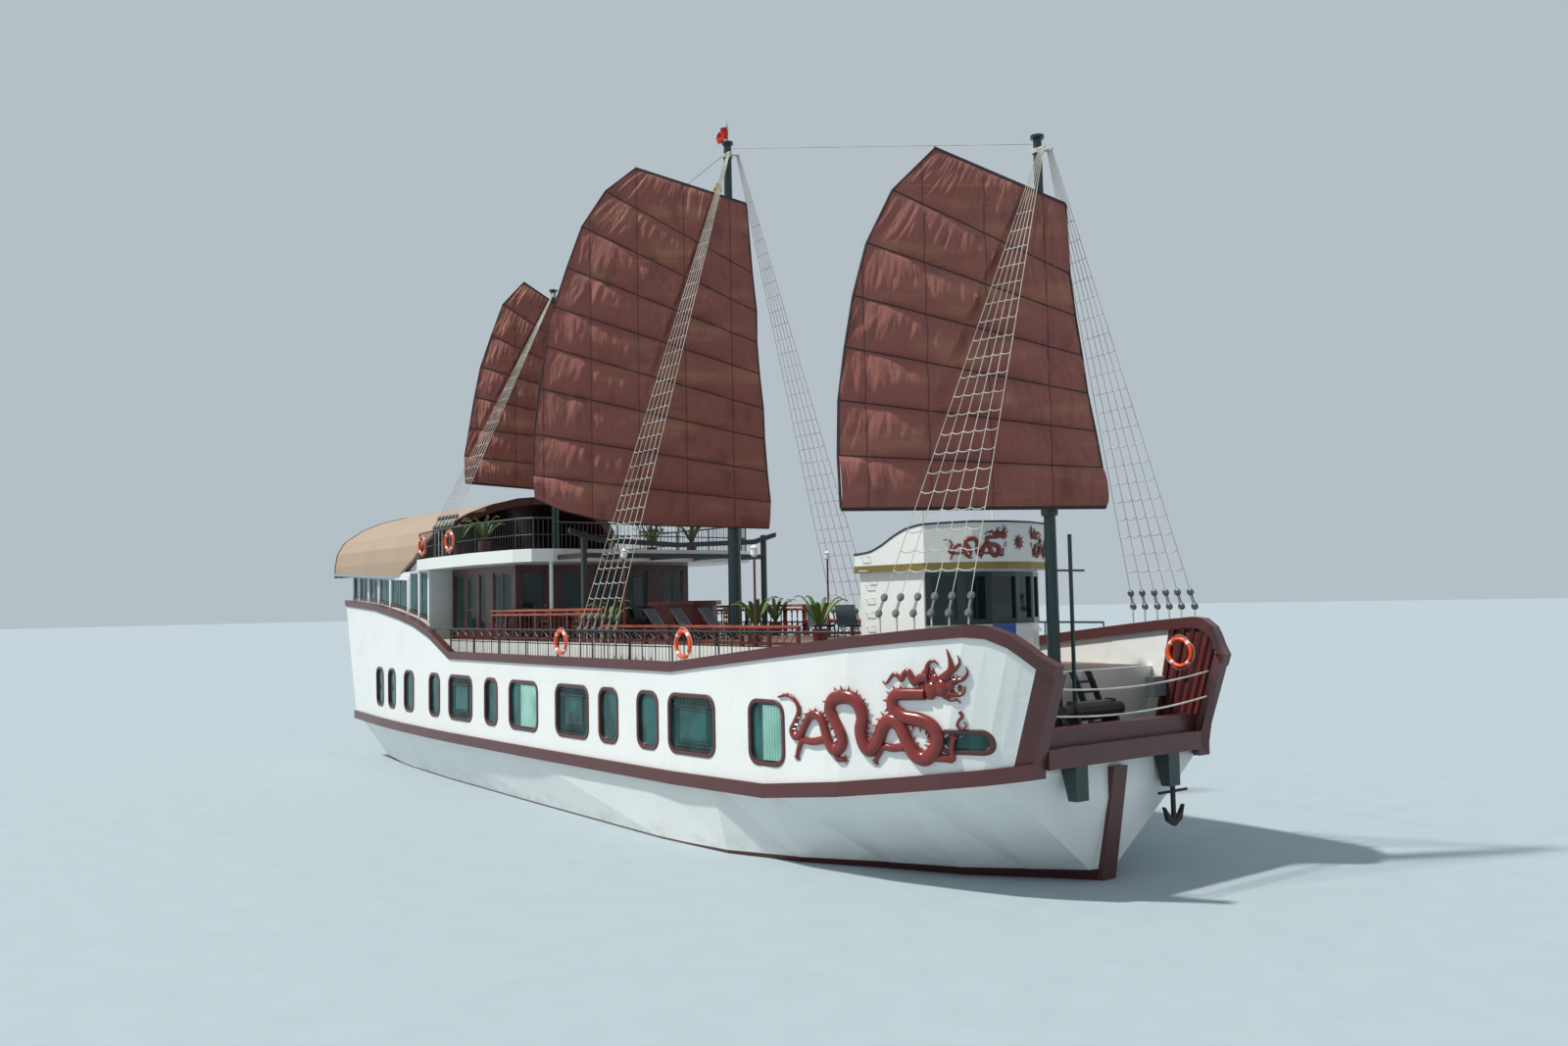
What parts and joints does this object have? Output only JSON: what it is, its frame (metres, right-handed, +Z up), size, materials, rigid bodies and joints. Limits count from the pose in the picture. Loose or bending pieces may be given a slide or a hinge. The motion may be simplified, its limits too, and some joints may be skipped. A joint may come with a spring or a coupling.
{
  "type": "junk ship",
  "caption": "Three-masted cruise junk with fully battened sails, a solid decked hull, cabins, a barrel-roofed poop and twin propellers and rudders.",
  "frame": {"origin": "amidships on the centreline, on the waterline", "axes": "+X forward to the bow, +Y to port, +Z up"},
  "size_m": [38.7516, 10.1938, 22.34],
  "materials": {
    "white_paint": "weathered gloss",
    "brown_timber": "painted",
    "red_timber": "varnished",
    "deck_timber": "worn",
    "spar_timber": "oiled",
    "black_steel": "satin",
    "green_black_paint": "satin",
    "sailcloth": "coarse weave",
    "wire_rope": "dull",
    "roof_paint": "matte",
    "bronze": "worn",
    "rubber": "matte",
    "buoy_orange": "faded"
  },
  "bodies": {
    "ship": {"anchor": "black_steel", "balustrade_port": "brown_timber", "balustrade_starboard": "brown_timber", "bar_counter": "red_timber", "barrel_roof": "roof_paint", "bow_beam": "brown_timber", "bow_ladder": "red_timber", "cap_rail_port": "brown_timber", "cap_rail_starboard": "brown_timber", "deckhouse": "white_paint", "fore_mast": "green_black_paint", "fore_shrouds": "wire_rope", "hawse_bracket_port": "green_black_paint", "hawse_bracket_starboard": "green_black_paint", "hull_lower": "white_paint", "hull_upper": "white_paint", "lifebuoy_quarter": "buoy_orange", "lifebuoy_waist": "buoy_orange", "main_mast": "green_black_paint", "main_rail_port": "black_steel", "main_rail_starboard": "black_steel", "main_shrouds": "wire_rope", "mizzen_mast": "green_black_paint", "mizzen_shrouds": "wire_rope", "pergola": "red_timber", "poop_house": "white_paint", "signal_mast": "green_black_paint", "stay_after": "wire_rope", "stay_forward": "wire_rope", "stem_trunk": "brown_timber", "stern_platform": "white_paint", "strake_port": "brown_timber", "strake_starboard": "brown_timber", "sun_deck": "deck_timber", "tyre_fender": "rubber", "upper_deck": "white_paint", "upper_rail": "black_steel", "wheelhouse": "white_paint", "wheelhouse_roof": "white_paint", "windlass": "black_steel"},
    "fore_rig": {"fore_sail_frame": "spar_timber", "fore_sail": "sailcloth"},
    "main_rig": {"main_sail_frame": "spar_timber", "main_sail": "sailcloth"},
    "mizzen_rig": {"mizzen_sail_frame": "spar_timber", "mizzen_sail": "sailcloth"},
    "propeller_starboard": {"propeller_starboard": "bronze"},
    "rudder_starboard": {"rudder_starboard": "black_steel"},
    "deckhouse_door_starboard": {"deckhouse_door_starboard": "red_timber"},
    "propeller_port": {"propeller_port": "bronze"},
    "rudder_port": {"rudder_port": "black_steel"},
    "deckhouse_door_port": {"deckhouse_door_port": "red_timber"},
    "wheelhouse_door": {"wheelhouse_door": "red_timber"}
  },
  "joints": [
    {"name": "fore_sail_swing", "type": "hinge", "parent": "ship", "child": "fore_rig", "pos_m": [17.45, 0, 8], "axis": [0, 0, 1], "range_deg": [-120, 4]},
    {"name": "main_sail_swing", "type": "hinge", "parent": "ship", "child": "main_rig", "pos_m": [5.2, 0, 9.1], "axis": [0, 0, 1], "range_deg": [-120, 4]},
    {"name": "mizzen_sail_swing", "type": "hinge", "parent": "ship", "child": "mizzen_rig", "pos_m": [-6.3, 0, 10.3], "axis": [0, 0, 1], "range_deg": [-120, 4]},
    {"name": "propeller_starboard_spin", "type": "hinge", "parent": "ship", "child": "propeller_starboard", "pos_m": [-13.6, -1.5, -1.5], "axis": [1, 0, 0], "continuous": true},
    {"name": "rudder_starboard_turn", "type": "hinge", "parent": "ship", "child": "rudder_starboard", "pos_m": [-14.8, -1.5, -1], "axis": [0, 0, 1], "range_deg": [-35, 35]},
    {"name": "deckhouse_door_starboard_swing", "type": "hinge", "parent": "ship", "child": "deckhouse_door_starboard", "pos_m": [-6.494, -3.42, 6], "axis": [0, 0, -1], "range_deg": [0, 100]},
    {"name": "propeller_port_spin", "type": "hinge", "parent": "ship", "child": "propeller_port", "pos_m": [-13.6, 1.5, -1.5], "axis": [1, 0, 0], "continuous": true},
    {"name": "rudder_port_turn", "type": "hinge", "parent": "ship", "child": "rudder_port", "pos_m": [-14.8, 1.5, -1], "axis": [0, 0, 1], "range_deg": [-35, 35]},
    {"name": "deckhouse_door_port_swing", "type": "hinge", "parent": "ship", "child": "deckhouse_door_port", "pos_m": [-6.494, 3.42, 6], "axis": [0, 0, 1], "range_deg": [0, 100]},
    {"name": "wheelhouse_door_swing", "type": "hinge", "parent": "ship", "child": "wheelhouse_door", "pos_m": [13.706, 1.93, 5.35], "axis": [0, 0, 1], "range_deg": [0, 110]}
  ]
}
